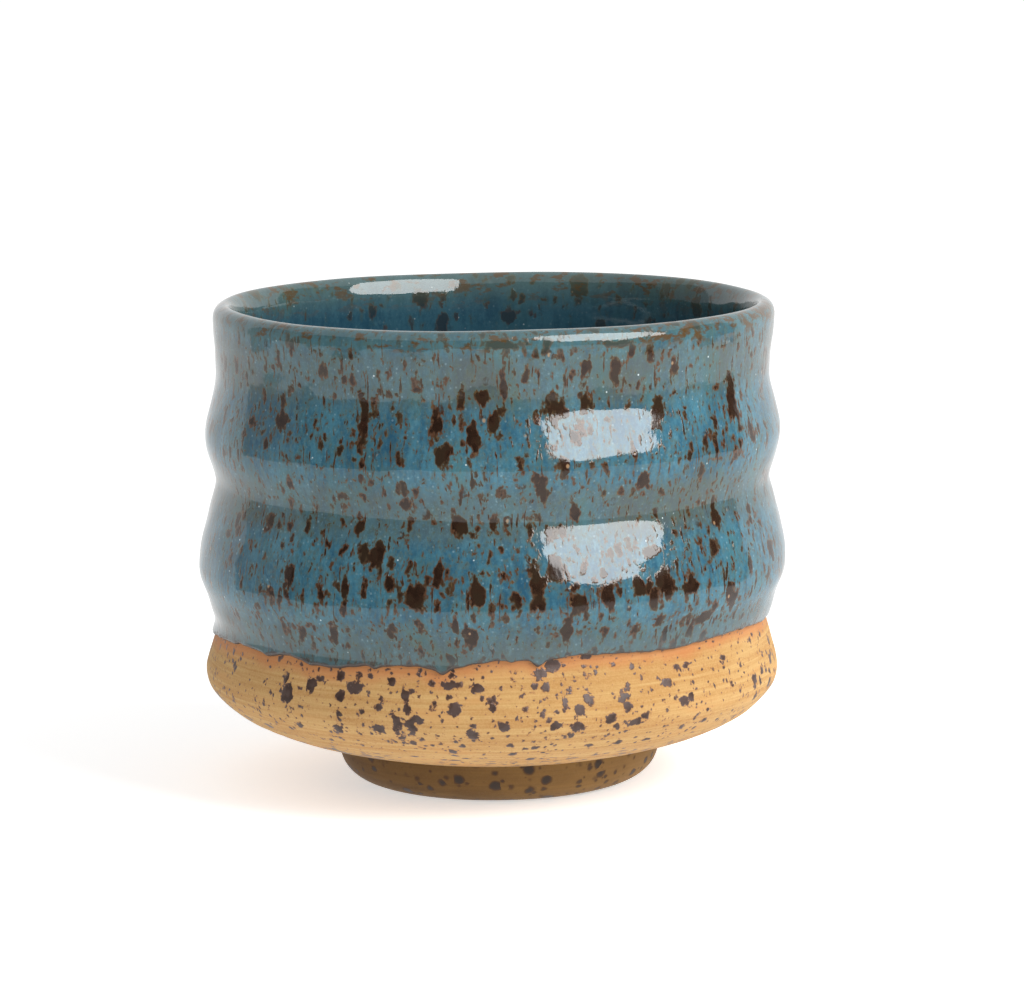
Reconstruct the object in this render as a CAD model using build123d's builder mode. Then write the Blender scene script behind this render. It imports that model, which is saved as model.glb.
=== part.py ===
from build123d import *
import math
import os

# Wheel-thrown stoneware tea bowl, millimetres, +Z up.
# Origin: centre of the foot's resting face, on the axis of the bowl.
# Every piece is a body of revolution about Z, so each profile is drawn as (radius, height)
# on the XZ plane.

# ---------------------------------------------------------------- driving dimensions
height = 88.7            # table to rim crest, over the glaze
glaze_t = 0.6            # thickness of the glass coat
glaze_line_z = 30.0      # height where the outside coat stops and bare clay begins

lip_r = 49.2             # radius of the ring through the middle of the lip
lip_bead = 2.0           # radius of the rounded lip, over the glaze
lip_z = height - lip_bead

join_z = 8.0             # underside of the body where the foot ring is fixed
underside_edge_r = 32.0  # crisp edge where the turned underside ends above the foot
foot_top_r = 29.9        # foot ring outside radius against the body
foot_land_r = 24.0       # outer radius of the flat resting land
foot_bore_r = 17.5       # radius of the recess inside the foot ring
foot_bore_bevel = 0.8    # soft inner edge of the land
recess_ceiling_z = 6.3   # the body closes the recess at this height
ceiling_sag = 0.5        # the ceiling of the recess dips this much at the middle
floor_z = 13.4           # clay floor inside the bowl, on the axis

# Bare clay outside, from the crisp edge above the foot up to the glaze line.
# Shallow underside, then a full belly that draws in to a waist at the glaze line.
clay_low = [
    (underside_edge_r, join_z),
    (41.0, 10.55),
    (48.4, 14.4),
    (52.0, 18.2),
    (52.5, 22.6),
    (51.0, 28.0),
    (50.55, glaze_line_z),
]

# Outside of the glaze, from the glaze line to the lip: two thrown swellings with
# a groove between them and a soft neck under the lip.
glaze_out = [
    (51.12, glaze_line_z),
    (52.1, 33.6),
    (53.6, 37.9),
    (54.12, 41.0),
    (53.4, 46.3),
    (51.75, 53.1),
    (50.88, 56.8),
    (51.9, 60.6),
    (52.9, 65.0),
    (52.1, 69.5),
    (50.9, 74.4),
    (50.88, 79.0),
    (51.3, 84.8),
]

# Inside of the glaze, from the lip down to the middle of the floor. The wall thickens
# downwards and repeats the swellings outside only faintly.
glaze_in = [
    (46.75, 82.2),
    (46.5, 77.5),
    (46.75, 71.5),
    (47.35, 65.4),
    (46.75, 59.5),
    (46.35, 55.5),
    (46.9, 49.5),
    (47.5, 43.0),
    (47.1, 37.0),
    (45.4, 31.2),
    (42.2, 26.0),
    (37.3, 21.5),
    (30.6, 18.0),
    (22.0, 15.7),
    (11.5, 14.4),
]


def inset(points, distance, side):
    """Move each point of a profile sideways by distance, along the profile's own normal."""
    moved = []
    for i, (r, z) in enumerate(points):
        r0, z0 = points[max(i - 1, 0)]
        r1, z1 = points[min(i + 1, len(points) - 1)]
        dr, dz = r1 - r0, z1 - z0
        run = math.hypot(dr, dz)
        moved.append((r - side * distance * dz / run, z + side * distance * dr / run))
    return moved


# Clay surface under the outside coat and under the inside coat.
clay_out = inset(glaze_out[1:], glaze_t, 1.0)
clay_in = inset(glaze_in, glaze_t, 1.0)

clay_bead = lip_bead - glaze_t
clay_lip_out = (lip_r + clay_bead, lip_z)
clay_lip_top = (lip_r, lip_z + clay_bead)
clay_lip_in = (lip_r - clay_bead, lip_z)
clay_lip_out_mid = (lip_r + clay_bead * math.sqrt(0.5), lip_z + clay_bead * math.sqrt(0.5))
clay_lip_in_mid = (lip_r - clay_bead * math.sqrt(0.5), lip_z + clay_bead * math.sqrt(0.5))
glaze_lip_out = (lip_r + lip_bead, lip_z)
glaze_lip_top = (lip_r, height)
glaze_lip_in = (lip_r - lip_bead, lip_z)
glaze_lip_out_mid = (lip_r + lip_bead * math.sqrt(0.5), lip_z + lip_bead * math.sqrt(0.5))
glaze_lip_in_mid = (lip_r - lip_bead * math.sqrt(0.5), lip_z + lip_bead * math.sqrt(0.5))

upper_clay_curve = [clay_low[-1]] + clay_out + [clay_lip_out]
inner_clay_curve = [clay_lip_in] + clay_in + [(0.0, floor_z)]
outer_glaze_curve = glaze_out + [glaze_lip_out]
inner_glaze_curve = [glaze_lip_in] + glaze_in + [(0.0, floor_z + glaze_t)]

os.makedirs("parts", exist_ok=True)

# ---------------------------------------------------------------- stoneware body
# The thrown and turned clay wall: underside, belly, swellings, lip, inside and floor in one
# piece, with a shallow boss underneath that centres the foot ring.
with BuildPart() as stoneware_body:
    with BuildSketch(Plane.XZ):
        with BuildLine():
            Spline(clay_low, tangents=[(1.0, 0.27), (0.0, 1.0)])
            Spline(upper_clay_curve, tangents=[(0.0, 1.0), (0.0, 1.0)])
            ThreePointArc(clay_lip_out, clay_lip_out_mid, clay_lip_top)
            ThreePointArc(clay_lip_top, clay_lip_in_mid, clay_lip_in)
            Spline(inner_clay_curve, tangents=[(0.0, -1.0), (-1.0, 0.0)])
            Line((0.0, floor_z), (0.0, recess_ceiling_z - ceiling_sag))
            Spline(
                [(0.0, recess_ceiling_z - ceiling_sag), (foot_bore_r, recess_ceiling_z)],
                tangents=[(1.0, 0.0), (1.0, 0.08)],
            )
            Line((foot_bore_r, recess_ceiling_z), (foot_bore_r, join_z))
            Line((foot_bore_r, join_z), (underside_edge_r, join_z))
        make_face()
    revolve(axis=Axis.Z)
stoneware_body.part.label = "stoneware_body"
export_step(stoneware_body.part, "parts/stoneware_body.step")

# ---------------------------------------------------------------- foot ring
# A ring fixed under the body, rounded under on the outside down to a narrow flat land,
# with an open recess in the middle.
with BuildPart() as foot_ring:
    with BuildSketch(Plane.XZ):
        with BuildLine():
            Line((foot_bore_r, join_z), (foot_top_r, join_z))
            Spline(
                [
                    (foot_top_r, join_z),
                    (29.75, 6.2),
                    (29.4, 4.6),
                    (28.8, 3.2),
                    (27.7, 1.85),
                    (26.1, 0.75),
                    (foot_land_r, 0.0),
                ],
                tangents=[(-0.05, -1.0), (-1.0, -0.15)],
            )
            Line((foot_land_r, 0.0), (foot_bore_r + foot_bore_bevel, 0.0))
            Line((foot_bore_r + foot_bore_bevel, 0.0), (foot_bore_r, foot_bore_bevel))
            Line((foot_bore_r, foot_bore_bevel), (foot_bore_r, join_z))
        make_face()
    revolve(axis=Axis.Z)
foot_ring.part.label = "foot_ring"
export_step(foot_ring.part, "parts/foot_ring.step")

# ---------------------------------------------------------------- outside glaze
# The glass coat on the outside, from the crest of the lip down to a rounded edge at the
# glaze line.
with BuildPart() as outer_glaze:
    with BuildSketch(Plane.XZ):
        with BuildLine():
            Spline(upper_clay_curve, tangents=[(0.0, 1.0), (0.0, 1.0)])
            ThreePointArc(clay_lip_out, clay_lip_out_mid, clay_lip_top)
            Line(clay_lip_top, glaze_lip_top)
            ThreePointArc(glaze_lip_top, glaze_lip_out_mid, glaze_lip_out)
            Spline(outer_glaze_curve, tangents=[(0.0, 1.0), (0.0, 1.0)])
            Line(outer_glaze_curve[0], clay_low[-1])
        make_face()
    revolve(axis=Axis.Z)
outer_glaze.part.label = "outer_glaze"
export_step(outer_glaze.part, "parts/outer_glaze.step")

# ---------------------------------------------------------------- inside glaze
# The liner coat, from the crest of the lip over the whole inside.
with BuildPart() as inner_glaze:
    with BuildSketch(Plane.XZ):
        with BuildLine():
            Line(clay_lip_top, glaze_lip_top)
            ThreePointArc(glaze_lip_top, glaze_lip_in_mid, glaze_lip_in)
            Spline(inner_glaze_curve, tangents=[(0.0, -1.0), (-1.0, 0.0)])
            Line((0.0, floor_z + glaze_t), (0.0, floor_z))
            Spline(inner_clay_curve, tangents=[(0.0, -1.0), (-1.0, 0.0)])
            ThreePointArc(clay_lip_in, clay_lip_in_mid, clay_lip_top)
        make_face()
    revolve(axis=Axis.Z)
inner_glaze.part.label = "inner_glaze"
export_step(inner_glaze.part, "parts/inner_glaze.step")
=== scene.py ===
import math

import bpy
import numpy as np
from mathutils import Matrix, Vector


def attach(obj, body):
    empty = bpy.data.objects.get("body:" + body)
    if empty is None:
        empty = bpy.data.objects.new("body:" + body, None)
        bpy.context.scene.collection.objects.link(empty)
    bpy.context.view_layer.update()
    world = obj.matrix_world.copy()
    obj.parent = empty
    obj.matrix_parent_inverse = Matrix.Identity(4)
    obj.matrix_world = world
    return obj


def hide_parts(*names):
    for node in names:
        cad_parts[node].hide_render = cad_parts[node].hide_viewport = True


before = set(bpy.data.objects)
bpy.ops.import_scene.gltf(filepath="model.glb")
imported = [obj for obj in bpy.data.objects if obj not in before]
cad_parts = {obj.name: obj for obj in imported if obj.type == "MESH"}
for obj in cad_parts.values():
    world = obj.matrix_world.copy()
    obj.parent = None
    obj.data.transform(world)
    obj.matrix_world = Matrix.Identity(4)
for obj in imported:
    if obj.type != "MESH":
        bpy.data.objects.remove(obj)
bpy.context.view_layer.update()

MM = 0.001
N = 720                       # columns round the bowl

# ------------------------------------------------------------------ profiles (mm)
FOOT_Z = 8.0
CREST = (49.2, 88.7)
GLAZE_T = 0.6

CLAY_LOW = [(32.0, 8.0), (36.5, 9.1), (41.0, 10.55), (45.2, 12.4), (48.4, 14.4), (50.8, 16.6), (52.2, 18.5),
            (52.72, 20.6), (52.4, 23.0), (51.7, 25.5), (51.0, 28.0), (50.55, 30.0)]
GLAZE_OUT = [(51.4, 31.5), (51.95, 33.1), (52.45, 34.9), (53.1, 36.7), (53.72, 38.3), (54.05, 39.9), (54.1, 41.5),
             (53.93, 43.4), (53.55, 45.6), (53.0, 48.1), (52.35, 50.6), (51.75, 53.1), (51.15, 55.2), (50.88, 56.8),
             (51.1, 58.2), (51.65, 59.9), (52.3, 61.9), (52.78, 63.9), (52.9, 65.4), (52.65, 67.3), (52.1, 69.5),
             (51.45, 71.9), (50.92, 74.3), (50.78, 76.5), (50.88, 79.0), (51.08, 81.6), (51.27, 84.0), (51.32, 85.4)]
GLAZE_IN = [(46.9, 83.7), (46.5, 77.5), (46.75, 71.5), (47.35, 65.4), (46.75, 59.5), (46.35, 55.5), (46.9, 49.5),
            (47.5, 43.0), (47.1, 37.0), (45.4, 31.2), (42.2, 26.0), (37.3, 21.5), (30.6, 18.0), (22.0, 15.7),
            (11.5, 14.4), (0.0, 14.0)]
FOOT_OUT = [(24.0, 0.0), (26.1, 0.75), (27.7, 1.85), (28.8, 3.2), (29.4, 4.6), (29.75, 6.2), (29.9, 8.0)]


def cubic(pts, step=0.1):
    """Natural cubic spline through pts, by chord length: dense points."""
    p = np.array(pts, float)
    t = np.r_[0, np.cumsum(np.hypot(*np.diff(p, axis=0).T))]
    n = len(t)
    h = np.diff(t)
    A = np.eye(n)
    B = np.zeros((n, 2))
    for i in range(1, n - 1):
        A[i, i - 1], A[i, i], A[i, i + 1] = h[i - 1], 2 * (h[i - 1] + h[i]), h[i]
        B[i] = 6 * ((p[i + 1] - p[i]) / h[i] - (p[i] - p[i - 1]) / h[i - 1])
    M = np.linalg.solve(A, B)
    out = []
    for i in range(n - 1):
        k = max(2, int(round(h[i] / step)))
        for u in np.linspace(0, h[i], k, endpoint=False):
            a, b = h[i] - u, u
            out.append(M[i] * a ** 3 / (6 * h[i]) + M[i + 1] * b ** 3 / (6 * h[i])
                       + (p[i] / h[i] - M[i] * h[i] / 6) * a + (p[i + 1] / h[i] - M[i + 1] * h[i] / 6) * b)
    out.append(p[-1])
    return np.array(out)


class Curve:
    """A dense profile with arc length; at(s) gives r, z and normal(s) the side to the right of travel."""

    def __init__(self, pts, smooth=0.0):
        p = np.array(pts, float)
        s = np.r_[0, np.cumsum(np.hypot(*np.diff(p, axis=0).T))]
        self.s = np.arange(0, s[-1], 0.1)
        self.s = np.r_[self.s, s[-1]]
        self.r = np.interp(self.s, s, p[:, 0])
        self.z = np.interp(self.s, s, p[:, 1])
        if smooth:
            k = int(4 * smooth / 0.1)
            w = np.exp(-0.5 * (np.arange(-k, k + 1) * 0.1 / smooth) ** 2)
            w /= w.sum()
            for name in ("r", "z"):
                a = getattr(self, name)
                # odd reflection about the ends keeps the ends where they are
                e = np.r_[2 * a[0] - a[k:0:-1], a, 2 * a[-1] - a[-2:-k - 2:-1]]
                setattr(self, name, np.convolve(e, w, "valid"))
        self.len = self.s[-1]
        dr, dz = np.gradient(self.r, self.s), np.gradient(self.z, self.s)
        q = np.hypot(dr, dz)
        self.nr, self.nz = dz / q, -dr / q

    def at(self, s):
        return np.interp(s, self.s, self.r), np.interp(s, self.s, self.z)

    def normal(self, s):
        return np.interp(s, self.s, self.nr), np.interp(s, self.s, self.nz)

    def s_at_z(self, z):
        return np.interp(z, self.z, self.s)


def arc(cx, cz, ra, rb, a0, a1, n):
    a = np.radians(np.linspace(a0, a1, n))
    return [(cx + ra * math.cos(t), cz + rb * math.sin(t)) for t in a]


# the clay's outside, from the sharp edge over the foot to under the lip, in one smooth curve
clay_pts = CLAY_LOW + [(r - GLAZE_T, z) for r, z in GLAZE_OUT]
clay_lip = arc(CREST[0], 86.7 - 0.0, 2.12 - GLAZE_T, 2.0 - GLAZE_T, 0, 90, 10)[1:]
CLAY = Curve(cubic(clay_pts + clay_lip), 0.45)
# the glazed surface over it ends at the crest
OUT = Curve(np.vstack([cubic([(r, z) for r, z in [(50.55 + 0.57, 30.0)] + GLAZE_OUT]
                             + arc(CREST[0], 86.7, 2.1, 2.0, 0, 90, 14)[1:])]), 0.45)
# the inside, from the crest down to the middle of the floor
IN = Curve(cubic(arc(CREST[0], 83.7, -2.3, 5.0, 90, 0, 12)[:-1] + GLAZE_IN), 0.35)
FOOT = Curve(cubic(FOOT_OUT), 0.2)

# ------------------------------------------------------------------ how the thrown bowl departs from a perfect revolve
CX_Z = [0, 6.5, 8.5, 12, 16, 22, 40, 65, 80, 88.7]
CX_D = [0.75, 0.75, 0.65, 0.40, -0.05, -0.45, 0.02, 0.32, 0.38, 0.35]


def ss(x, a, b):
    t = np.clip((x - a) / (b - a), 0, 1)
    return t * t * (3 - 2 * t)


def warp(r, th, z):
    """mm in, mm out. th is 0 at the front (-Y) and grows towards +X."""
    r, th, z = np.broadcast_arrays(np.asarray(r, float), th, z)
    up = ss(z, 9, 34)
    wall = ss(r, 20, 44)
    dr = up * wall * (0.10 * np.cos(2 * th + 0.7) + 0.08 * np.cos(3 * th - 1.1))
    dr = dr + ss(z, 12, 20) * wall * (
        0.040 * np.sin(6 * th + 0.19 * z + 1.0) + 0.030 * np.sin(11 * th - 0.31 * z)
        + 0.022 * np.sin(17 * th + 0.43 * z + 2.0) + 0.014 * np.sin(29 * th - 0.8 * z + 0.4)
        + 0.020 * np.sin(1.15 * z + 1.2 * np.sin(th + 0.6)) * (1 - ss(z, 80, 86)))
    dr = dr + 0.22 * wall * ss(z, 9, 14)
    front = np.exp(2.2 * (np.cos(th) - 1))
    right = np.exp(2.4 * (np.cos(th - 0.66) - 1))
    dz = -wall * front * (0.75 * ss(z, 32, 42) * (1 - ss(z, 64, 76)) + 0.30 * np.exp(-((z - 57) / 4.5) ** 2))
    dz = dz - wall * right * (1.25 * np.exp(-((z - 55.5) / 5.0) ** 2) + 0.45 * np.exp(-((z - 65) / 4.5) ** 2))
    dz = dz + wall * ss(z, 34, 50) * 0.30 * np.sin(2 * th + 0.9) * (1 - ss(z, 78, 88))
    rim = ss(z, 66, 88.7)
    dz = dz + rim * (-0.20 * np.sin(th) - 0.04 * np.sin(2 * th + 2.4) + 0.10 * np.sin(3 * th + 0.4) + 0.05 * np.sin(5 * th + 1.0)
                     + 0.03 * np.sin(9 * th))
    dx = np.interp(z, CX_Z, CX_D) + 0.95 * ss(z, 70, 88.7) * 0.5 * (1 - np.cos(th))
    x = (r + dr) * np.sin(th) + dx
    y = -(r + dr) * np.cos(th)
    return np.stack([x, y, z + dz], axis=-1)


# where the glaze stops: degrees from the front against height
LINE = [(-180, 29.3), (-168, 30.3), (-150, 28.6), (-136, 29.6), (-120, 28.2), (-105, 28.6), (-90, 27.6), (-78, 28.4),
        (-67, 29.0), (-58, 29.2), (-51, 29.0), (-44, 29.35), (-38, 28.45), (-32, 28.4), (-27, 29.05), (-22, 29.55),
        (-15, 29.6), (-12, 29.3), (-9.6, 28.9), (-7.6, 29.6), (-4.5, 30.35), (-1.5, 30.4), (1.5, 30.9), (5.5, 31.05),
        (7.6, 30.6), (9, 30.3), (11.5, 31.0), (16, 31.25), (21.5, 31.3), (30, 30.85), (36, 30.55), (45, 30.85),
        (53, 31.2), (58, 31.7), (65, 31.1), (76, 30.6), (90, 30.9), (104, 30.0), (122, 30.8), (138, 29.4),
        (152, 30.2), (166, 29.2), (180, 29.3)]
# small runs of glaze past the line: degrees, depth mm, half-width degrees
RUNS = [(-9.9, 0.9, 1.0), (8.8, 0.9, 0.8), (3.6, 0.4, 0.6), (-52, 0.5, 0.9), (33, 0.4, 0.7), (128, 1.2, 1.2),
        (-140, 1.4, 1.3), (172, 0.8, 1.0), (-97, 0.7, 1.0), (95, 0.6, 0.9), (60.5, 0.5, 0.8), (-24, 0.35, 0.6)]


def line_z(th):
    d = np.degrees(th)
    a = np.array(LINE)
    z = np.interp(d, a[:, 0], a[:, 1])
    k = np.exp(-0.5 * (np.arange(-12, 13) / 3.0) ** 2)
    k /= k.sum()
    z = np.convolve(np.r_[z[-12:], z, z[:12]], k, "valid")
    for c, h, w in RUNS:
        z = z - h * np.exp(-0.5 * ((d - c) / w) ** 2)
    z = z + 0.10 * np.sin(23 * th + 1) + 0.08 * np.sin(41 * th + 2.2) + 0.06 * np.sin(67 * th) + 0.05 * np.sin(97 * th + 1.7)
    return z


TH = np.radians(np.linspace(-180, 180, N, endpoint=False))
S_LINE = CLAY.s_at_z(line_z(TH))

# ------------------------------------------------------------------ ash and iron spots that are large enough to place
# degrees from the front, height mm, half-width mm, half-height mm
GLAZE_SPOTS = [
    (8, 44.9, 1.3, 5.6), (16, 41.6, 1.8, 2.6), (12, 75.2, 1.9, 3.1), (-26, 72.6, 1.1, 4.0), (2, 86.4, 4.6, 0.8),
    (-23, 49.8, 1.6, 2.7), (-3, 44.1, 1.4, 3.4), (-15, 43.3, 2.2, 2.2), (26, 85.8, 4.0, 0.8), (56, 73.6, 1.7, 4.4),
    (28, 43.1, 1.7, 2.0), (-11, 72.7, 1.2, 2.5), (-4, 70.8, 1.3, 2.1), (-7, 56.6, 1.3, 2.4), (34, 43.6, 1.9, 2.4),
    (-27, 54.9, 1.0, 2.4), (-9, 67.9, 1.5, 2.0), (18, 81.4, 1.0, 2.3), (-29, 43.1, 0.8, 3.4), (-10, 47.8, 1.0, 2.6),
    (4, 42.9, 1.5, 1.8), (14, 36.3, 1.2, 3.0), (9, 62.6, 1.1, 2.6), (-46, 72.4, 1.5, 2.3), (50, 54.6, 1.2, 2.7),
    (-4, 35.4, 1.1, 2.2), (44, 36.0, 2.6, 1.4), (-2, 77.1, 1.3, 1.5), (34, 73.6, 1.4, 2.3), (40, 42.1, 2.0, 1.5),
    (-7, 38.6, 0.8, 2.2), (0, 56.5, 0.9, 2.0), (31, 49.2, 1.7, 1.5), (18, 75.5, 1.2, 1.6), (2, 79.3, 0.6, 3.2),
    (0, 73.2, 1.1, 1.6), (-32, 35.1, 1.3, 2.0), (-42, 45.3, 1.2, 2.1), (22, 42.5, 0.8, 2.6), (-18, 67.3, 0.9, 1.5),
    (30, 62.4, 1.3, 2.0), (16, 57.8, 1.0, 1.6)]
CLAY_SPOTS = [
    (-17, 24.8, 0.9, 1.1), (-16.4, 22.7, 0.8, 1.5), (-14.8, 20.6, 1.4, 0.8), (-18.8, 19.6, 0.9, 1.6), (-44, 23.1, 1.3, 2.1), (-7, 22.6, 1.2, 1.4), (-16, 19.3, 1.1, 1.7), (-38, 25.1, 1.2, 1.5),
    (-23, 18.5, 1.4, 0.9), (-28, 25.5, 1.5, 1.1), (28, 18.7, 2.0, 0.7), (-8, 26.7, 1.6, 0.8), (-3, 26.1, 1.0, 0.9),
    (16, 18.8, 1.3, 0.8), (-4, 17.9, 1.1, 1.0), (17, 21.8, 0.9, 1.3), (12, 19.2, 1.3, 0.7), (36, 24.8, 1.2, 1.1),
    (-42, 10.8, 1.2, 1.6), (26, 23.4, 1.0, 0.9), (0, 23.3, 0.8, 1.0), (14, 23.5, 0.7, 1.1), (40, 21.3, 1.1, 0.8),
    (-32, 17.6, 1.1, 1.1), (2, 19.5, 1.0, 0.9), (-20, 27.1, 0.9, 0.7), (42, 21.6, 0.8, 0.8), (9.5, 28.4, 1.2, 1.0)]


def spot_field(th, z, spots, r=52.5):
    """1 in the middle of a placed spot, 0.5 at its edge, 0 at twice its size."""
    f = np.zeros(np.broadcast(th, z).shape)
    for d, z0, hw, hh in spots:
        dx = (th - math.radians(d)) * r
        q = np.sqrt((dx / hw) ** 2 + ((z - z0) / hh) ** 2)
        f = np.maximum(f, np.clip(1 - 0.5 * q, 0, 1))
    return f


# ------------------------------------------------------------------ meshes
def solid(name, rings, vis, closed, uv_s, attrs, flip_ref=None):
    """A closed mesh from rings (each (N,3) in mm, or (3,) for a pole), in the order that puts outside to the right.
    vis[j] says that the strip from ring j to ring j+1 shows. uv_s[j] is the profile length used for the UV rows."""
    verts, start = [], []
    for g in rings:
        start.append(sum(len(v) for v in verts))
        verts.append(g if g.ndim == 2 else g[None])
    flat = np.vstack(verts) * MM
    m = len(rings)
    pairs = [(j, (j + 1) % m) for j in range(m if closed else m - 1)]
    idx = np.arange(N)
    nxt = (idx + 1) % N
    loops, sizes, corner_uv, shown = [], [], [], []
    top = [uv_s[j] for j, k in enumerate(uv_s)]
    s_vis = [uv_s[j] for j, k in pairs if vis[j]] + [uv_s[k] for j, k in pairs if vis[j]]
    s0, s1 = min(s_vis), max(s_vis)
    deg = np.degrees(TH)
    front = (deg >= -90 - 1e-6) & (deg < 90 - 1e-6)
    base_u = np.where(front, deg + 90, np.mod(deg - 90, 360)) / 180
    du = 360 / N / 180
    u0, u1 = 0.01 + 0.98 * base_u, 0.01 + 0.98 * (base_u + du)
    for j, k in pairs:
        if vis[j]:
            va = 0.035 + 0.455 * (uv_s[j] - s0) / (s1 - s0) + np.where(front, 0.5, 0)
            vb = 0.035 + 0.455 * (uv_s[k] - s0) / (s1 - s0) + np.where(front, 0.5, 0)
        else:
            va = np.full(N, 0.004)
            vb = np.full(N, 0.016)
        a, b = rings[j].ndim == 2, rings[k].ndim == 2
        if a and b:
            q = np.stack([start[j] + idx, start[j] + nxt, start[k] + nxt, start[k] + idx], 1)
            w = np.stack([np.stack([u0, va], 1), np.stack([u1, va], 1), np.stack([u1, vb], 1), np.stack([u0, vb], 1)], 1)
        elif a:
            q = np.stack([start[j] + idx, start[j] + nxt, np.full(N, start[k])], 1)
            w = np.stack([np.stack([u0, va], 1), np.stack([u1, va], 1), np.stack([(u0 + u1) / 2, vb], 1)], 1)
        else:
            q = np.stack([np.full(N, start[j]), start[k] + nxt, start[k] + idx], 1)
            w = np.stack([np.stack([(u0 + u1) / 2, va], 1), np.stack([u1, vb], 1), np.stack([u0, vb], 1)], 1)
        loops.append(q.reshape(-1))
        sizes.append(np.full(N, q.shape[1]))
        corner_uv.append(w.reshape(-1, 2))
        shown.append(np.full(q.size, vis[j]))
    loops, sizes = np.concatenate(loops), np.concatenate(sizes)
    corner_uv, shown = np.concatenate(corner_uv), np.concatenate(shown)
    me = bpy.data.meshes.new(name)
    me.vertices.add(len(flat))
    me.vertices.foreach_set("co", flat.astype(np.float32).ravel())
    me.loops.add(len(loops))
    me.loops.foreach_set("vertex_index", loops.astype(np.int32))
    me.polygons.add(len(sizes))
    me.polygons.foreach_set("loop_start", np.r_[0, np.cumsum(sizes)[:-1]].astype(np.int32))
    me.polygons.foreach_set("use_smooth", np.ones(len(sizes), bool))
    me.update(calc_edges=True)
    uv = me.uv_layers.new(name="OFBake")
    uv.data.foreach_set("uv", corner_uv.astype(np.float32).ravel())
    for key, values in attrs.items():
        at = me.attributes.new(key, "FLOAT", "POINT")
        full = np.concatenate([np.atleast_1d(v) if np.ndim(v) else np.full(len(g), v)
                               for v, g in zip(values, verts)])
        at.data.foreach_set("value", full.astype(np.float32))
    # smooth normals from the visible faces alone, so a hidden face never bends the shading at a seam
    co = flat[loops]
    first = np.r_[0, np.cumsum(sizes)[:-1]]
    fn = np.zeros((len(sizes), 3))
    a, b, c = co[first], co[first + 1], co[first + 2]
    quad = sizes == 4
    d = co[np.minimum(first + 3, len(co) - 1)]
    fn[quad] = np.cross(c[quad] - a[quad], d[quad] - b[quad])
    fn[~quad] = np.cross(b[~quad] - a[~quad], c[~quad] - a[~quad])
    face_of = np.repeat(np.arange(len(sizes)), sizes)
    acc = np.zeros((len(flat), 3))
    unit = fn / np.maximum(np.linalg.norm(fn, axis=1), 1e-20)[:, None]
    np.add.at(acc, loops[shown], fn[face_of[shown]])
    acc /= np.maximum(np.linalg.norm(acc, axis=1), 1e-20)[:, None]
    return dict(me=me, loops=loops, shown=shown, acc=acc, unit=unit, face_of=face_of, start=start, flat=flat)


def finish_mesh(d, name, node, mat):
    nrm = np.where(d["shown"][:, None], d["acc"][d["loops"]], d["unit"][d["face_of"]])
    d["me"].normals_split_custom_set(nrm.tolist())
    ob = bpy.data.objects.new(name, d["me"])
    bpy.context.scene.collection.objects.link(ob)
    d["me"].materials.append(mat)
    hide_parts(node)
    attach(ob, "root")
    return ob


def full(v):
    return np.full(N, float(v))


# --- outer glaze: a coat with a rounded edge at its wavy lower line
def coat(d):
    """Coat thickness at d mm above its edge."""
    edge = 0.72 * np.sqrt(np.clip(1 - (1 - np.clip(d / 0.55, 0, 1)) ** 2, 0, 1))
    return edge + (GLAZE_T - 0.72) * ss(d, 0.7, 4.0)


rows = np.r_[0.0, 0.03, 0.09, 0.18, 0.30, 0.45, 0.65, 0.95, 1.4, 1.9]
s_end = CLAY.len
n_up = 108
rings, vis, uvs, edge_a, spot_a = [], [], [], [], []
frac = np.linspace(0, 1, n_up + 1)
grid = [S_LINE + d for d in rows] + [S_LINE + 1.9 + (s_end - S_LINE - 1.9) * f for f in frac[1:]]
for s in grid:
    r, z = CLAY.at(s)
    nr, nz = CLAY.normal(s)
    t = coat(s - S_LINE)
    # at the crest the coat ends square on the rim's top line
    r2, z2 = r + nr * t, z + nz * t
    rings.append([r2, z2, s])
rings[-1][0] = full(CREST[0])
rings[-1][1] = full(CREST[1])
out_rings = []
for r2, z2, s in rings:
    out_rings.append(warp(r2, TH, z2))
    uvs.append(float(np.mean(s)))
    edge_a.append(s - S_LINE)
    spot_a.append(spot_field(TH, z2, GLAZE_SPOTS))
nv = len(out_rings)
vis = [True] * (nv - 1) + [False]
hid = np.linspace(0, 1, 12)[:-1]
for f in hid:
    s = s_end - 0.001 + (S_LINE - s_end) * f
    r, z = CLAY.at(s)
    if f == 0:
        r, z = full(CREST[0]), full(CREST[1] - GLAZE_T)
    out_rings.append(warp(r - 0.004, TH, z))
    uvs.append(0.0)
    edge_a.append(full(5))
    spot_a.append(full(0))
    vis.append(False)
outer = solid("outer_glaze_coat", out_rings, vis, True, uvs, {"edge_mm": edge_a, "spot": spot_a})

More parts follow.
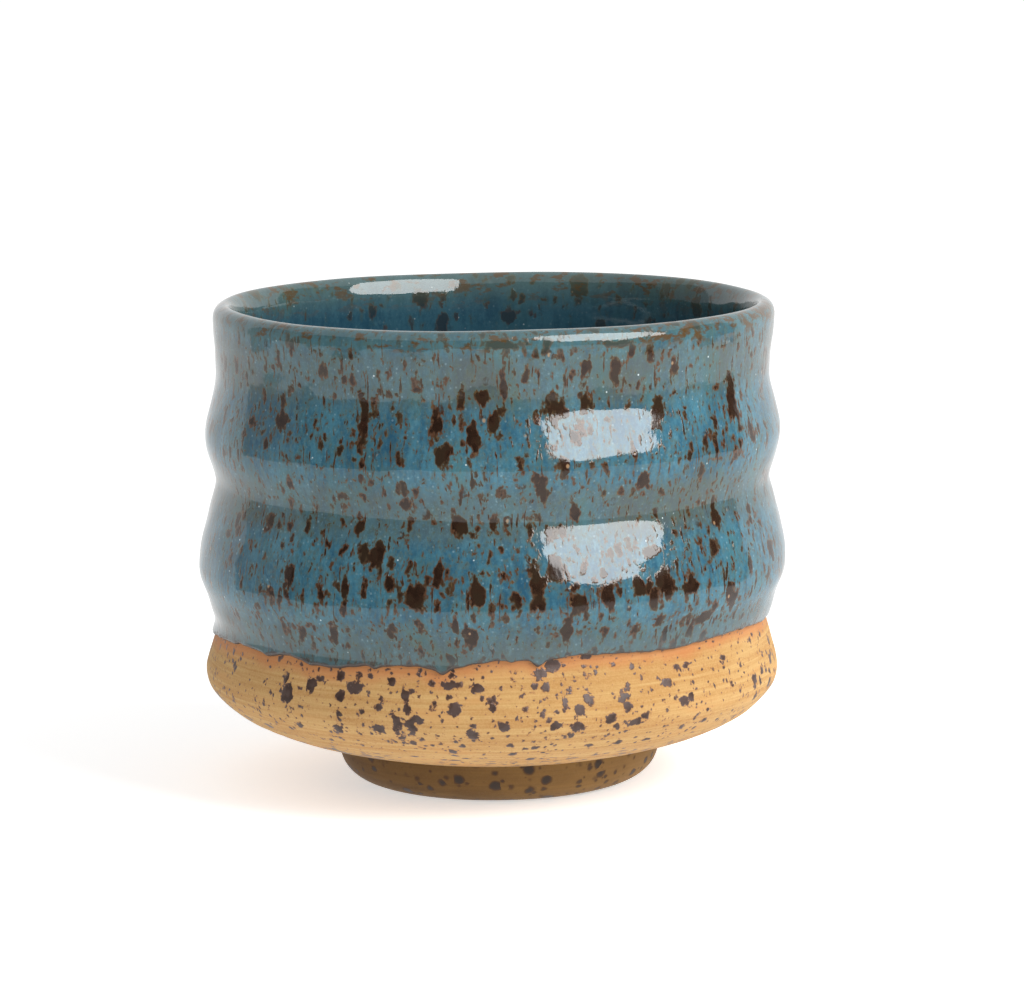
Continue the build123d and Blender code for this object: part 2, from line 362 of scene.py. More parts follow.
# --- inner glaze: from the crest to the middle of the floor, and back under itself
in_rings, vis, uvs, edge_a = [], [], [], []
lens = np.r_[np.linspace(0, 8, 27), np.linspace(8, IN.len - 0.5, 96)[1:], IN.len]
for s in lens[:-1]:
    r, z = IN.at(s)
    r, z = (CREST if s == 0 else (r, z))
    in_rings.append(warp(full(r), TH, full(z)))
    uvs.append(float(s))
    edge_a.append(full(s))
    vis.append(True)
pole = warp(0.0, 0.0, IN.at(IN.len)[1])
in_rings.append(pole)
uvs.append(float(IN.len))
edge_a.append(IN.len)
vis.append(False)
in_rings.append(warp(0.0, 0.0, IN.at(IN.len)[1] - GLAZE_T))
uvs.append(0.0)
edge_a.append(IN.len)
vis.append(False)
IN_BACK = []
for s in np.linspace(IN.len - 2, 1.5, 22):
    r, z = IN.at(s)
    nr, nz = IN.normal(s)
    rr, zz = r - nr * GLAZE_T, z - nz * GLAZE_T
    IN_BACK.append((rr, zz))
    in_rings.append(warp(full(rr), TH, full(zz)))
    uvs.append(0.0)
    edge_a.append(full(s))
    vis.append(False)
in_rings.append(warp(full(CREST[0]), TH, full(CREST[1] - GLAZE_T)))
uvs.append(0.0)
edge_a.append(full(0))
vis.append(False)
inner = solid("inner_glaze_coat", in_rings, vis, True, uvs, {"edge_mm": edge_a})

# --- the two coats share one crest line, so they share its normals
a0 = outer["start"][nv - 1]
b0 = inner["start"][0]
mean = outer["acc"][a0:a0 + N] + inner["acc"][b0:b0 + N]
mean /= np.linalg.norm(mean, axis=1)[:, None]
outer["acc"][a0:a0 + N] = mean
inner["acc"][b0:b0 + N] = mean

# --- clay body
body_rings, vis, uvs, edge_a, spot_a = [], [], [], [], []


def put(rz, s, e, v, sp=0.0):
    r, z = rz
    if np.ndim(r) == 0 and r == 0:
        body_rings.append(warp(0.0, 0.0, z))
        edge_a.append(float(np.mean(e)))
        spot_a.append(0.0)
    else:
        body_rings.append(warp(r + np.zeros(N), TH, z + np.zeros(N)))
        edge_a.append(e + np.zeros(N))
        spot_a.append(sp + np.zeros(N))
    uvs.append(float(s))
    vis.append(v)


put((0.0, 5.8), 0, -60, True)
for r in np.linspace(1.5, 15.5, 12):
    put((r, 5.8 + 0.5 * (r / 17.5) ** 2), r, -50, True)
for r, z in [(16.4, 6.32), (17.0, 6.42), (17.35, 6.62), (17.5, 6.95)]:
    put((r, z), r + z - 6.2, -45, True)
put((17.5, FOOT_Z), 19.4, -44, False)
put((29.75, FOOT_Z), 19.9, -40, True)
put((30.4, FOOT_Z - 0.02), 20.5, -39, True)
put((31.2, FOOT_Z - 0.03), 21.3, -38.5, True)
rows = np.r_[0.0, 0.12, 0.28, 0.5, 0.8, 1.2]
S_LOW = [full(x) for x in rows] + [1.2 + (S_LINE - 0.9 - 1.2) * f for f in np.linspace(0, 1, 84)[1:]] + \
        [S_LINE - 0.5, S_LINE - 0.2, S_LINE + 0.05, S_LINE + 0.4]
for k, s in enumerate(S_LOW):
    r, z = CLAY.at(s)
    # a crisp turned arris over the foot
    z = z - 0.10 * np.exp(-(s / 0.35) ** 2)
    # turning marks, and the coarser step left by the last cut
    tool = 0.035 * np.sin(s * 2 * math.pi / 1.9 + 1.1 * np.sin(TH * 1 + 0.3)) * ss(s, 1.5, 4) * (1 - ss(s, 12, 20))
    tool = tool + 0.05 * (ss(s, 15.6, 15.9) - ss(s, 16.6, 18.5)) + 0.03 * (ss(s, 8.2, 8.4) - ss(s, 9.0, 10.5))
    nr, nz = CLAY.normal(s)
    put((r + nr * tool, z + nz * tool), 22 + float(np.mean(s)), s - S_LINE, k < len(S_LOW) - 1,
        spot_field(TH, z, CLAY_SPOTS))
for f in np.linspace(0, 1, 12)[1:]:
    s = S_LINE + 0.4 + (CLAY.len - S_LINE - 0.4) * f
    r, z = CLAY.at(s)
    if f == 1:
        r, z = full(CREST[0]), full(CREST[1] - GLAZE_T - 0.02)
    put((r - 0.02, z), 0, 5, False)
for rr, zz in IN_BACK[::-1]:
    put((rr + 0.01, zz - 0.01), 0, 5, False)
put((0.0, IN.at(IN.len)[1] - GLAZE_T - 0.02), 0, 5, False)
vis = vis[:-1]
body = solid("clay_body", body_rings, vis, False, uvs, {"edge_mm": edge_a, "spot": spot_a})

# --- foot ring
foot_rings, vis, uvs = [], [], []


def put_foot(r, z, s, v):
    foot_rings.append(warp(full(r), TH, full(z)))
    uvs.append(float(s))
    vis.append(v)


bore = 17.5
for k, s in enumerate(np.linspace(0, 1, 8)):
    put_foot(18.3 + s * (23.7 - 18.3), 0.0, 8 + s * 6, True)
for s in np.linspace(0, FOOT.len, 40)[1:]:
    r, z = FOOT.at(s)
    put_foot(float(r), float(max(z, 0.0)), 14.5 + s, True)
vis[-1] = False
put_foot(24.0, FOOT_Z - 0.002, 30, False)
put_foot(bore + 0.02, FOOT_Z - 0.002, 0, True)
for z in (7.2, 6.3, 5.0, 3.6, 2.2, 1.2):
    put_foot(bore + 0.02, z, 8 - z * 0.9, True)
for a in np.radians(np.linspace(0, 90, 7)):
    put_foot(bore + 0.8 - 0.78 * math.cos(a), 0.8 - 0.8 * math.sin(a), 7.3 + a * 0.4, True)
foot_rings.pop()
vis.pop()
uvs.pop()
foot = solid("foot_ring_clay", foot_rings, vis, True, uvs, {})


# ------------------------------------------------------------------ materials
class Graph:
    def __init__(self, name):
        self.mat = bpy.data.materials.new(name)
        self.mat.use_nodes = True
        self.nt = self.mat.node_tree
        self.nt.nodes.clear()

    def node(self, kind, **props):
        n = self.nt.nodes.new(kind)
        for k, v in props.items():
            setattr(n, k, v)
        return n

    def put(self, socket, value):
        if isinstance(value, bpy.types.NodeSocket):
            self.nt.links.new(value, socket)
        elif isinstance(value, (tuple, list)):
            socket.default_value = (*value, 1.0) if socket.type == "RGBA" and len(value) == 3 else value
        else:
            socket.default_value = value

    def math(self, op, a, b=0.0, c=None, clamp=False):
        n = self.node("ShaderNodeMath", operation=op, use_clamp=clamp)
        self.put(n.inputs[0], a)
        self.put(n.inputs[1], b)
        if c is not None:
            self.put(n.inputs[2], c)
        return n.outputs[0]

    def mul(self, *xs):
        out = xs[0]
        for x in xs[1:]:
            out = self.math("MULTIPLY", out, x)
        return out

    def add(self, *xs):
        out = xs[0]
        for x in xs[1:]:
            out = self.math("ADD", out, x)
        return out

    def sub(self, a, b):
        return self.math("SUBTRACT", a, b)

    def mx(self, a, b):
        return self.math("MAXIMUM", a, b)

    def inv(self, a):
        return self.math("SUBTRACT", 1.0, a, clamp=True)

    def step(self, x, a, b, lo=0.0, hi=1.0, kind="SMOOTHSTEP"):
        n = self.node("ShaderNodeMapRange", interpolation_type=kind, clamp=True)
        for sock, v in zip(n.inputs[:5], (x, a, b, lo, hi)):
            self.put(sock, v)
        return n.outputs[0]

    def mix(self, f, a, b, blend="MIX"):
        n = self.node("ShaderNodeMix", data_type="RGBA", blend_type=blend, clamp_factor=True)
        self.put(n.inputs[0], f)
        self.put(n.inputs[6], a)
        self.put(n.inputs[7], b)
        return n.outputs[2]

    def coords(self):
        n = self.node("ShaderNodeTexCoord")
        v = self.node("ShaderNodeVectorMath", operation="SCALE")
        self.put(v.inputs[0], n.outputs["Object"])
        v.inputs[3].default_value = 1000.0
        return v.outputs[0]

    def vscale(self, v, xyz):
        n = self.node("ShaderNodeVectorMath", operation="MULTIPLY")
        self.put(n.inputs[0], v)
        n.inputs[1].default_value = xyz
        return n.outputs[0]

    def vadd(self, v, w):
        n = self.node("ShaderNodeVectorMath", operation="ADD")
        self.put(n.inputs[0], v)
        self.put(n.inputs[1], w)
        return n.outputs[0]

    def wobble(self, v, size, amp, detail=1.0):
        """v moved about by smooth noise: size and amp in mm; amp is (x, y, z)."""
        n = self.node("ShaderNodeTexNoise")
        self.put(n.inputs["Vector"], v)
        n.inputs["Scale"].default_value = 1.0 / size
        n.inputs["Detail"].default_value = detail
        s = self.node("ShaderNodeVectorMath", operation="MULTIPLY_ADD")
        self.put(s.inputs[0], n.outputs["Color"])
        s.inputs[1].default_value = tuple(2 * a for a in amp)
        s.inputs[2].default_value = tuple(-a for a in amp)
        return self.vadd(v, s.outputs[0])

    def noise(self, v, size, detail=2.0, rough=0.5, shift=(0, 0, 0)):
        """Noise with features of size (x, y, z) mm."""
        if not isinstance(size, tuple):
            size = (size,) * 3
        w = self.vscale(v, tuple(1.0 / x for x in size))
        if any(shift):
            w = self.vadd(w, shift)
        n = self.node("ShaderNodeTexNoise")
        self.put(n.inputs["Vector"], w)
        n.inputs["Scale"].default_value = 1.0
        n.inputs["Detail"].default_value = detail
        n.inputs["Roughness"].default_value = rough
        return n.outputs["Fac"]

    def cells(self, v, size, shift=(0, 0, 0), rand=1.0):
        if not isinstance(size, tuple):
            size = (size,) * 3
        w = self.vscale(v, tuple(1.0 / x for x in size))
        if any(shift):
            w = self.vadd(w, shift)
        n = self.node("ShaderNodeTexVoronoi", feature="F1")
        self.put(n.inputs["Vector"], w)
        n.inputs["Scale"].default_value = 1.0
        n.inputs["Randomness"].default_value = rand
        sep = self.node("ShaderNodeSeparateColor")
        self.put(sep.inputs[0], n.outputs["Color"])
        return n.outputs["Distance"], sep.outputs[0], sep.outputs[1], sep.outputs[2]

    def attr(self, name):
        return self.node("ShaderNodeAttribute", attribute_name=name).outputs["Fac"]

    def z(self, v):
        return self.node_xyz(v)[2]

    def node_xyz(self, v):
        n = self.node("ShaderNodeSeparateXYZ")
        self.put(n.inputs[0], v)
        return n.outputs

    def bump(self, height, strength, dist_mm, after=None):
        n = self.node("ShaderNodeBump")
        n.inputs["Strength"].default_value = strength
        n.inputs["Distance"].default_value = dist_mm * MM
        self.put(n.inputs["Height"], height)
        if after is not None:
            self.put(n.inputs["Normal"], after)
        return n.outputs[0]

    def surface(self, color, rough, normal=None, ior=1.5, **fixed):
        p = self.node("ShaderNodeBsdfPrincipled")
        self.put(p.inputs["Base Color"], color)
        self.put(p.inputs["Roughness"], rough)
        p.inputs["IOR"].default_value = ior
        for k, v in fixed.items():
            p.inputs[k.replace("_", " ")].default_value = v
        if normal is not None:
            self.put(p.inputs["Normal"], normal)
        out = self.node("ShaderNodeOutputMaterial")
        self.nt.links.new(p.outputs[0], out.inputs[0])
        return self.mat


def glaze_material(name, inside):
    g = Graph(name)
    p = g.coords()
    z = g.z(p)
    x = g.node_xyz(p)[0]
    # --- the blue itself: clouds, flow streaks, fine mottle
    cloud = g.noise(p, (13, 13, 17), 3, 0.55)
    flow = g.noise(g.wobble(p, 7, (0.8, 0.8, 0.0)), (1.5, 1.5, 16), 3, 0.55, (3, 7, 1))
    fine = g.noise(p, (0.75, 0.75, 0.95), 3, 0.6, (11, 2, 5))
    teal = g.noise(p, (6, 6, 11), 2, 0.5, (21, 4, 9))
    mixv = g.add(g.mul(cloud, 0.52), g.mul(flow, 0.42), g.mul(fine, 0.34))
    col = g.mix(g.step(mixv, 0.46, 0.80), (0.019, 0.070, 0.116), (0.054, 0.158, 0.212))
    if not inside:
        # over the neck, the groove and the foot of the wall the blue is mixed greyer
        grey_bands = g.mx(g.mx(g.mul(g.step(z, 73, 78), g.inv(g.step(z, 83.5, 86.0))), g.mul(g.step(z, 50, 54), g.inv(g.step(z, 59, 63)))),
                    g.inv(g.step(z, 33, 39)))
        col = g.mix(g.mul(grey_bands, g.step(cloud, 0.30, 0.62, 0.75, 0.45)), col, (0.075, 0.080, 0.066))
    col = g.mix(g.mul(g.step(teal, 0.50, 0.72), 0.42), col, (0.045, 0.125, 0.125))
    # pale milky wisps where the coat runs thick
    milk = g.noise(g.wobble(p, 5, (1.0, 1.0, 1.0)), (3.4, 3.4, 8.5), 3, 0.6, (5, 15, 2))
    col = g.mix(g.mul(g.step(milk, 0.54, 0.74), g.step(fine, 0.35, 0.7), 0.40), col, (0.12, 0.235, 0.27))
    # a fine pale dusting of crystals
    dust = g.noise(p, (0.42, 0.42, 0.55), 3, 0.7, (9, 4, 2))
    col = g.mix(g.mul(g.step(dust, 0.52, 0.72), g.step(cloud, 0.35, 0.65, 0.15, 0.42)), col, (0.125, 0.240, 0.290))
    d, r1, r2, r3 = g.cells(p, 0.85, (2, 8, 4))
    crystal = g.mul(g.inv(g.step(d, 0.12, 0.34)), g.step(r1, 0.62, 0.9))
    col = g.mix(g.mul(crystal, 0.33), col, (0.26, 0.38, 0.42))
    d, r1, r2, r3 = g.cells(p, 2.6, (6, 1, 9))
    spark = g.mul(g.inv(g.step(d, 0.03, 0.085)), g.step(r2, 0.55, 0.6))
    col = g.mix(g.mul(spark, 0.8), col, (0.62, 0.72, 0.74))

    # --- iron spots, drawn out downwards
    q = g.wobble(g.wobble(p, 3.0, (1.1, 1.1, 2.6), 2), 1.0, (0.32, 0.32, 0.60))
    ragged = g.noise(p, (0.95, 0.95, 1.9), 3, 0.66, (1, 3, 31))
    lobes = g.noise(p, (1.9, 1.9, 2.9), 2, 0.55, (17, 3, 8))
    crowd = g.noise(p, (9, 9, 12), 2, 0.5, (14, 9, 6))
    f = None
    if inside:
        layers = [((4.4, 4.4, 6.5), 0.05, 0.46, (3, 1, 2), 1.6), ((2.2, 2.2, 3.6), 0.02, 0.40, (8, 5, 1), 2.2)]
    else:
        layers = [((3.6, 3.6, 6.6), 0.02, 0.42, (3, 1, 2), 1.8), ((2.5, 2.5, 4.6), 0.00, 0.46, (8, 2, 6), 1.8),
                  ((1.6, 1.6, 3.0), 0.02, 0.48, (8, 5, 1), 1.8), ((0.9, 0.9, 1.7), 0.00, 0.36, (4, 4, 7), 2.4)]
    for size, lo, hi, shift, power in layers:
        d, r1, r2, r3 = g.cells(q, size, shift)
        radius = g.add(g.mul(g.math("POWER", r1, power), hi - lo), lo)
        radius = g.mul(radius, g.step(crowd, 0.30, 0.68, 0.62, 1.18, "LINEAR"))
        v = g.mul(g.sub(radius, d), size[0])            # mm inside the spot's edge
        f = v if f is None else g.mx(f, v)
    if not inside:
        placed = g.add(g.mul(g.sub(g.attr("spot"), 0.5), 2.6), g.mul(g.sub(lobes, 0.5), 3.6))
        f = g.mx(f, placed)
        # thin runs of iron down the wall
        run = g.noise(g.wobble(p, 6, (0.5, 0.5, 0.0)), (0.62, 0.62, 9.5), 2, 0.5, (9, 9, 3))
        f = g.mx(f, g.mul(g.sub(run, g.step(crowd, 0.35, 0.7, 0.675, 0.625, "LINEAR")), 4.5))
    f = g.add(f, g.mul(g.sub(ragged, 0.5), 1.55))
    halo = g.step(f, -0.52, 0.04)
    stain = g.step(f, -0.09, 0.12)
    core = g.step(f, 0.08, 0.44)
    tint = g.noise(p, 2.6, 2, 0.5, (7, 7, 7))
    col = g.mix(g.mul(halo, 0.50), col, g.mix(g.step(tint, 0.4, 0.6), (0.060, 0.085, 0.060), (0.085, 0.110, 0.075)))
    rust = g.mix(g.step(tint, 0.42, 0.62), (0.084, 0.034, 0.014), (0.052, 0.027, 0.010))
    rust = g.mix(g.mul(g.step(fine, 0.52, 0.72), g.inv(core), 0.55), rust, (0.150, 0.088, 0.030))
    col = g.mix(g.mul(stain, 0.92), col, rust)
    col = g.mix(g.mul(core, g.step(tint, 0.30, 0.62, 0.96, 0.68)), col, (0.0125, 0.0060, 0.0035))
    # burst bubbles in the spots, with a dark ring and a pale centre that is a painted highlight, the glint caught in
    # each pit
    d, r1, r2, r3 = g.cells(p, (3.6, 3.6, 4.4), (12, 3, 5))
    rad = g.add(g.mul(r2, 0.07), 0.05)
    pit_glint = g.mul(g.inv(g.step(g.sub(d, rad), -0.03, 0.02)), g.step(r1, 0.45, 0.47), halo)
    ring = g.mul(g.inv(g.step(g.math("ABSOLUTE", g.sub(d, g.add(rad, 0.065))), 0.03, 0.07)), g.step(r1, 0.45, 0.47), halo)
    col = g.mix(g.mul(ring, 0.7), col, (0.030, 0.012, 0.007))
    # painted highlight: the pale glint in the middle of each pit
    col = g.mix(g.mul(pit_glint, 0.72), col, (0.36, 0.22, 0.12))

    # --- the lip, where the glaze thins and breaks olive and brown
    lipn = g.noise(p, (3.2, 3.2, 1.5), 3, 0.6, (2, 2, 8))
    if inside:
        lip = g.inv(g.step(g.attr("edge_mm"), 2.0, 9.0))
        # painted shade: the whole inside below the lip is mixed to a dark blue
        col = g.mix(g.mul(g.inv(lip), 0.62), col, (0.013, 0.040, 0.058))
        col = g.mix(g.mul(lip, 0.60), col, (0.082, 0.112, 0.084))
        col = g.mix(g.mul(lip, g.step(lipn, 0.53, 0.63), 0.8), col, (0.095, 0.052, 0.018))
        # painted shade: darker towards the floor of the bowl, deep in the hollow
        col = g.mix(g.mul(g.inv(g.step(z, 24, 76)), 0.45), col, (0.016, 0.046, 0.066))
    else:
        lip = g.step(z, 84.2, 86.3)
        col = g.mix(g.mul(lip, 0.45), col, (0.062, 0.105, 0.095))
        right = g.step(x, 8.0, 34.0)
        col = g.mix(g.mul(lip, g.step(g.add(lipn, g.mul(right, 0.07)), 0.54, 0.64), 0.85), col, (0.085, 0.044, 0.014))
    # --- the coat's edge, thin and dark where it meets the clay
    rough = 0.055
    if not inside:
        e = g.add(g.attr("edge_mm"), g.mul(g.sub(g.noise(p, (1.6, 1.6, 1.2), 3, 0.62, (1, 1, 1)), 0.5), 2.4))
        dark = g.inv(g.step(e, 0.28, 0.85))
        grey = g.inv(g.step(e, 0.6, 5.0))
        col = g.mix(g.mul(grey, 0.35), col, (0.085, 0.125, 0.135))
        col = g.mix(g.mul(dark, 0.88), col, (0.058, 0.043, 0.037))
        rough = g.add(g.mul(dark, 0.30), g.mul(g.step(f, 0.0, 0.4), 0.05), 0.045)
    # --- relief: a faint orange skin, slow ripples, spots that sit a touch proud
    skin = g.noise(p, (1.1, 1.1, 1.6), 2, 0.5, (2, 6, 1))
    slow = g.noise(p, (5.0, 5.0, 6.5), 1, 0.4, (8, 2, 3))
    n1 = g.bump(slow, 0.40, 0.13)
    n2 = g.bump(skin, 0.40, 0.042, n1)
    n3 = g.bump(g.add(g.mul(g.step(f, -0.1, 0.35), 0.9), g.mul(pit_glint, -1.0), g.mul(ring, 0.5)), 0.30, 0.05, n2)
    return g.surface(col, rough, n3, 1.5)


def clay_colour(g, p, z, edge, spots, dark=1.0):
    """Returns (colour, turning bands, broad tone, grain)."""
    band = g.noise(g.wobble(p, 9, (0, 0, 0.25)), (34, 34, 0.55), 4, 0.62, (3, 1, 1))
    broad = g.noise(p, (16, 16, 3.4), 3, 0.5, (1, 9, 4))
    grain = g.noise(p, 0.34, 3, 0.65, (4, 4, 4))
    col = g.mix(g.step(g.add(g.mul(band, 0.6), g.mul(broad, 0.4)), 0.36, 0.64), (0.396, 0.203, 0.060), (0.505, 0.322, 0.124))
    col = g.mix(g.mul(g.step(grain, 0.35, 0.75), 0.35), col, (0.61, 0.40, 0.178))
    col = g.mix(g.mul(g.step(broad, 0.53, 0.70), 0.45), col, (0.47, 0.215, 0.062))
    return col, band, broad, grain


def clay_material(name):
    g = Graph(name)
    p = g.coords()
    z = g.z(p)
    edge = g.attr("edge_mm")
    col, band, broad, grain = clay_colour(g, p, z, edge, None)
    # the orange flash under the glaze
    fl = g.noise(p, (4.5, 4.5, 9), 2, 0.5, (2, 5, 5))
    e = g.add(edge, g.mul(g.sub(fl, 0.5), 3.0))
    flash = g.step(e, -3.4, -0.5)
    col = g.mix(g.mul(flash, 0.72), col, (0.455, 0.160, 0.050))
    # --- iron spots: round to ragged, with a rusty rim
    q = g.wobble(g.wobble(p, 2.4, (0.85, 0.85, 0.85), 2), 0.7, (0.26, 0.26, 0.26), 1)
    rag = g.noise(p, 0.7, 3, 0.6, (5, 5, 1))
    crowd = g.noise(p, (9, 9, 7), 2, 0.5, (3, 3, 9))
    f = None
    for size, lo, hi, shift, power in [((3.4, 3.4, 3.4), 0.0, 0.37, (1, 2, 3), 1.9), ((1.8, 1.8, 1.8), 0.0, 0.42, (7, 2, 5), 1.7),
                                       ((1.0, 1.0, 1.0), 0.0, 0.38, (9, 1, 8), 1.8)]:
        d, r1, r2, r3 = g.cells(q, size, shift)
        radius = g.add(g.mul(g.math("POWER", r1, power), hi - lo), lo)
        radius = g.mul(radius, g.step(crowd, 0.30, 0.70, 0.60, 1.20, "LINEAR"))
        v = g.mul(g.sub(radius, d), size[0])
        f = v if f is None else g.mx(f, v)
    lobes = g.noise(p, 1.35, 2, 0.55, (3, 8, 1))
    f = g.mx(f, g.add(g.mul(g.sub(g.attr("spot"), 0.5), 2.2), g.mul(g.sub(lobes, 0.5), 2.6)))
    # dragged into dashes by the turning tool near the foot
    low = g.inv(g.step(z, 12.0, 15.5))
    d, r1, r2, r3 = g.cells(g.wobble(p, 3, (0.2, 0.2, 0.12)), (2.3, 2.3, 0.62), (5, 5, 2))
    dash = g.mul(g.sub(g.mul(r1, 0.48), d), 0.9)
    f = g.mx(g.sub(f, g.mul(low, 0.16)), g.sub(dash, g.mul(g.inv(low), 3.0)))
    f = g.add(f, g.mul(g.sub(rag, 0.5), 1.15))
    halo = g.step(f, -0.24, 0.06)
    stain = g.step(f, -0.04, 0.07)
    core = g.step(f, 0.05, 0.30)
    tint = g.noise(p, 2.2, 2, 0.5, (6, 2, 9))
    col = g.mix(g.mul(halo, 0.55), col, (0.36, 0.155, 0.058))
    spot = g.mix(g.step(tint, 0.40, 0.60), (0.110, 0.050, 0.030), (0.092, 0.062, 0.058))
    col = g.mix(g.mul(stain, 0.93), col, spot)
    col = g.mix(g.mul(core, g.step(tint, 0.35, 0.6, 0.90, 0.50)), col, (0.026, 0.015, 0.013))
    # --- below the arris over the foot the clay is mixed darker: painted shade under the bowl and in the recess inside the foot
    under = g.inv(g.step(z, 7.7, 8.6))
    col = g.mix(g.mul(under, 0.55), col, (0.22, 0.12, 0.05))
    rough = g.add(g.mul(stain, -0.34), g.mul(flash, -0.10), 0.78)
    n1 = g.bump(band, 0.32, 0.08)
    n2 = g.bump(grain, 0.40, 0.055, n1)
    n3 = g.bump(g.step(f, -0.05, 0.25), 0.6, 0.10, n2)
    return g.surface(col, rough, n3, 1.45, Diffuse_Roughness=0.25)


def foot_material(name):
    g = Graph(name)
    p = g.coords()
    z = g.z(p)
    band = g.noise(g.wobble(p, 9, (0, 0, 0.2)), (30, 30, 0.7), 3, 0.6, (8, 1, 1))
    broad = g.noise(p, (12, 12, 5), 2, 0.5, (1, 2, 4))
    grain = g.noise(p, 0.36, 3, 0.65, (4, 9, 4))
    # the foot's clay is mixed much darker than the body's: partly painted shade under the body's overhang
    col = g.mix(g.step(g.add(g.mul(band, 0.45), g.mul(broad, 0.55)), 0.36, 0.64), (0.130, 0.063, 0.013), (0.212, 0.111, 0.025))
    col = g.mix(g.mul(g.step(grain, 0.4, 0.75), 0.3), col, (0.25, 0.145, 0.055))
    # the foot is mixed darker on its -X side and paler on its +X side: painted shade and painted light from the key on
    # the right
    lit_side = g.step(g.node_xyz(p)[0], -24, 28)
    col = g.mix(g.mul(g.inv(lit_side), 0.38), col, (0.085, 0.038, 0.009))
    col = g.mix(g.mul(lit_side, 0.40), col, (0.30, 0.165, 0.050))
    q = g.wobble(p, 1.8, (0.4, 0.4, 0.4), 2)
    rag = g.noise(p, 0.9, 2, 0.5, (5, 1, 1))
    f = None
    for size, lo, hi, shift, power in [((3.2, 3.2, 3.0), 0.0, 0.42, (1, 7, 3), 1.4), ((1.7, 1.7, 1.6), 0.0, 0.40, (2, 2, 5), 1.8)]:
        d, r1, r2, r3 = g.cells(q, size, shift)
        v = g.mul(g.sub(g.mul(g.math("POWER", r1, power), hi), d), size[0])
        f = v if f is None else g.mx(f, v)
    f = g.add(f, g.mul(g.sub(rag, 0.5), 0.3))
    col = g.mix(g.mul(g.step(f, -0.32, 0.20), 0.9), col, (0.050, 0.022, 0.009))
    col = g.mix(g.mul(g.step(f, 0.10, 0.40), 0.7), col, (0.016, 0.008, 0.004))
    # the ring it stands on is ground smooth and dusty
    land = g.inv(g.step(z, 0.15, 0.9))
    col = g.mix(g.mul(land, 0.35), col, (0.16, 0.105, 0.06))
    n1 = g.bump(band, 0.5, 0.08)
    n2 = g.bump(grain, 0.45, 0.05, n1)
    return g.surface(col, g.add(g.mul(g.step(f, 0, 0.3), -0.25), 0.80), n2, 1.45, Diffuse_Roughness=0.25)


finish_mesh(outer, "outer_glaze_coat", "outer_glaze", glaze_material("blue_glaze", False))
finish_mesh(inner, "inner_glaze_coat", "inner_glaze", glaze_material("liner_glaze", True))
finish_mesh(body, "clay_body", "stoneware_body", clay_material("bare_clay"))
finish_mesh(foot, "foot_ring_clay", "foot_ring", foot_material("foot_clay"))

# ------------------------------------------------------------------ floor
fl = Graph("floor_paper")
fp = fl.coords()
tone = fl.mix(fl.noise(fp, 90, 2, 0.5), (0.93, 0.93, 0.93), (0.95, 0.95, 0.95))
floor_mat = fl.surface(tone, 0.9, None, 1.45, Specular_IOR_Level=0.0, Emission_Color=(1, 1, 1, 1), Emission_Strength=0.52)
me = bpy.data.meshes.new("floor")
k, R = 96, 6.0
ang = [2 * math.pi * i / k for i in range(k)]
me.from_pydata([(R * math.cos(a), R * math.sin(a), -0.0002) for a in ang], [], [list(range(k))])
floor = bpy.data.objects.new("floor", me)
me.materials.append(floor_mat)
bpy.context.scene.collection.objects.link(floor)
floor.visible_glossy = False

# ------------------------------------------------------------------ studio: the room that the gloss reflects, and a soft key
scene = bpy.context.scene
world = bpy.data.worlds.new("studio")
scene.world = world
world.use_nodes = True
nt = world.node_tree
nt.nodes.clear()


def wn(kind, **props):
    n = nt.nodes.new(kind)
    for k_, v_ in props.items():
        setattr(n, k_, v_)
    return n


def wset(socket, value):
    if isinstance(value, bpy.types.NodeSocket):
        nt.links.new(value, socket)
    else:
        socket.default_value = value


def wm(op, a, b=0.0):
    n = wn("ShaderNodeMath", operation=op)
    wset(n.inputs[0], a)
    wset(n.inputs[1], b)
    return n.outputs[0]


def ws(x_, a, b, lo=0.0, hi=1.0):
    n = wn("ShaderNodeMapRange", interpolation_type="SMOOTHSTEP", clamp=True)
    for sock, v in zip(n.inputs[:5], (x_, a, b, lo, hi)):
        wset(sock, v)
    return n.outputs[0]


def wmix(f, a, b):
    """a where f is 0, b where f is 1."""
    n = wn("ShaderNodeMix", data_type="FLOAT", clamp_factor=True)
    wset(n.inputs[0], f)
    wset(n.inputs[2], a)
    wset(n.inputs[3], b)
    return n.outputs[0]


tc = wn("ShaderNodeTexCoord")
sep = wn("ShaderNodeSeparateXYZ")
nt.links.new(tc.outputs["Generated"], sep.inputs[0])
el = wm("MULTIPLY", wm("ARCSINE", sep.outputs[2]), 180 / math.pi)
az = wm("MULTIPLY", wm("ARCTAN2", sep.outputs[0], wm("MULTIPLY", sep.outputs[1], -1.0)), 180 / math.pi)
absaz = wm("ABSOLUTE", az)
room = 0.045
v = wmix(ws(absaz, 117, 119), room, 1.0)                                        # pale wall behind
v = wmix(wm("MULTIPLY", ws(az, -88, -84, 1, 0), ws(az, -119, -117, 0, 1)), v, 0.42)
v = wmix(ws(el, 34, 37), v, 0.9)                                                # light ceiling
v = wmix(ws(el, -10.0, -9.2, 1, 0), v, 1.05)                                    # white table
bq = wm("ADD", wm("POWER", wm("MULTIPLY", wm("ABSOLUTE", wm("SUBTRACT", az, 48.5)), 1 / 29.0), 3.0),
        wm("POWER", wm("MULTIPLY", wm("ABSOLUTE", wm("SUBTRACT", el, 34.5)), 1 / 26.0), 3.0))
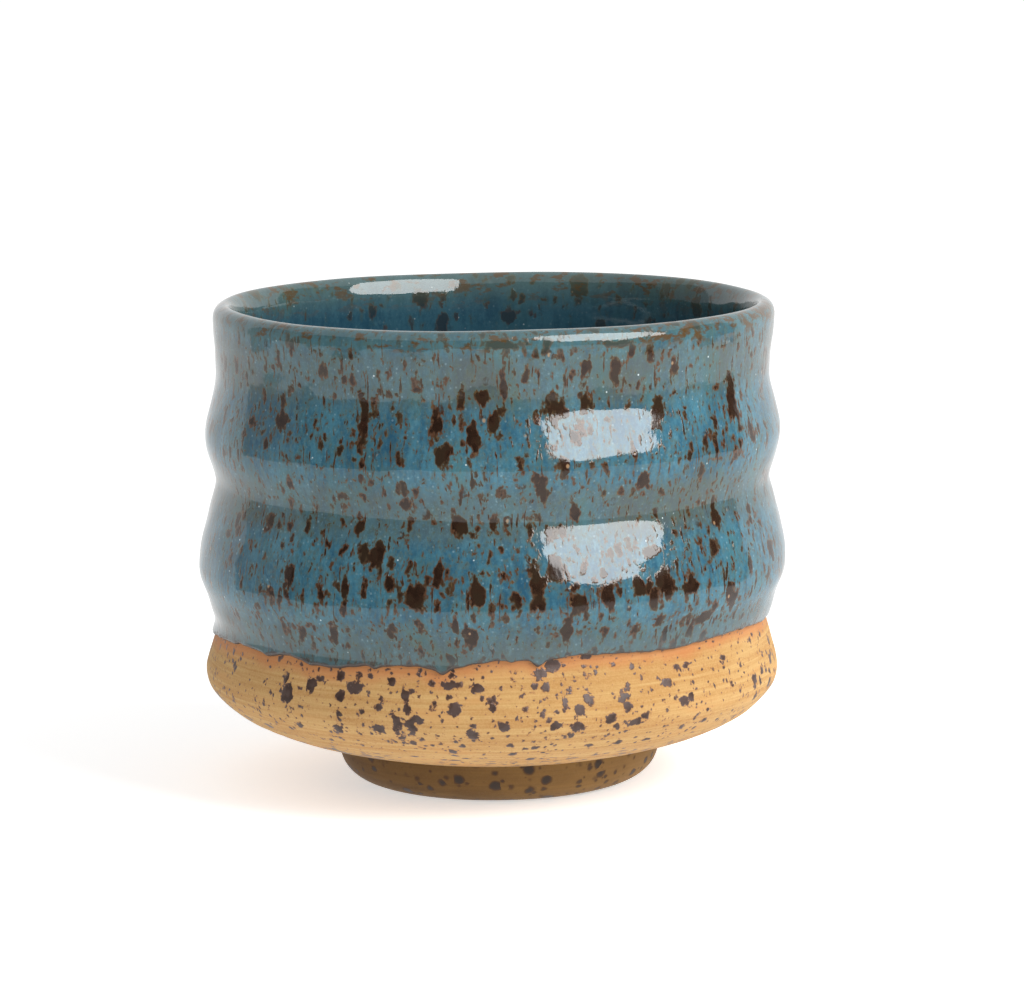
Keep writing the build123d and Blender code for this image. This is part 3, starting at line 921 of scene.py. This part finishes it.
v = wmix(ws(bq, 0.96, 1.03, 1, 0), v, 9.6)                                                          # soft box, front right
lp = wn("ShaderNodeLightPath")
v = wmix(lp.outputs["Is Glossy Ray"], wmix(lp.outputs["Is Camera Ray"], 0.56, 1.0), v)
bg = wn("ShaderNodeBackground")
bg.inputs["Color"].default_value = (1, 1, 1, 1)
nt.links.new(v, bg.inputs["Strength"])
wo = wn("ShaderNodeOutputWorld")
nt.links.new(bg.outputs[0], wo.inputs[0])
world.cycles.sampling_method = "NONE"

key = bpy.data.lights.new("key", "AREA")
key.shape = "RECTANGLE"
key.size, key.size_y = 0.65, 0.5
key.energy = 10.6
key_ob = bpy.data.objects.new("key", key)
ka, ke, kd = math.radians(57), math.radians(34), 1.0
spot_at = Vector((0, 0, 0.045))
key_ob.location = spot_at + Vector((math.sin(ka) * math.cos(ke), -math.cos(ka) * math.cos(ke), math.sin(ke))) * kd
key_ob.rotation_euler = (spot_at - key_ob.location).to_track_quat("-Z", "Y").to_euler()
scene.collection.objects.link(key_ob)
key_ob.visible_glossy = False
key_ob.visible_camera = False

# ------------------------------------------------------------------ camera
cam = bpy.data.cameras.new("camera")
cam.sensor_width = 36.0
cam.lens = 4624.66 * 36.0 / 1024.0
cam.clip_start, cam.clip_end = 0.05, 50
cam_ob = bpy.data.objects.new("camera", cam)
pitch, yaw, roll = math.radians(-8.805), math.radians(0.248), math.radians(0.70)
fwd = Vector((math.sin(yaw) * math.cos(pitch), math.cos(yaw) * math.cos(pitch), math.sin(pitch)))
right = fwd.cross(Vector((0, 0, 1))).normalized()
up = right.cross(fwd)
right, up = right * math.cos(roll) - up * math.sin(roll), up * math.cos(roll) + right * math.sin(roll)
cam_ob.matrix_world = Matrix.Translation((0, -0.8449, 0.18173)) @ Matrix((right, up, -fwd)).transposed().to_4x4()
scene.collection.objects.link(cam_ob)
scene.camera = cam_ob

scene.view_settings.view_transform = "Standard"
scene.view_settings.look = "None"
scene.view_settings.exposure = 0.0
scene.view_settings.gamma = 1.0
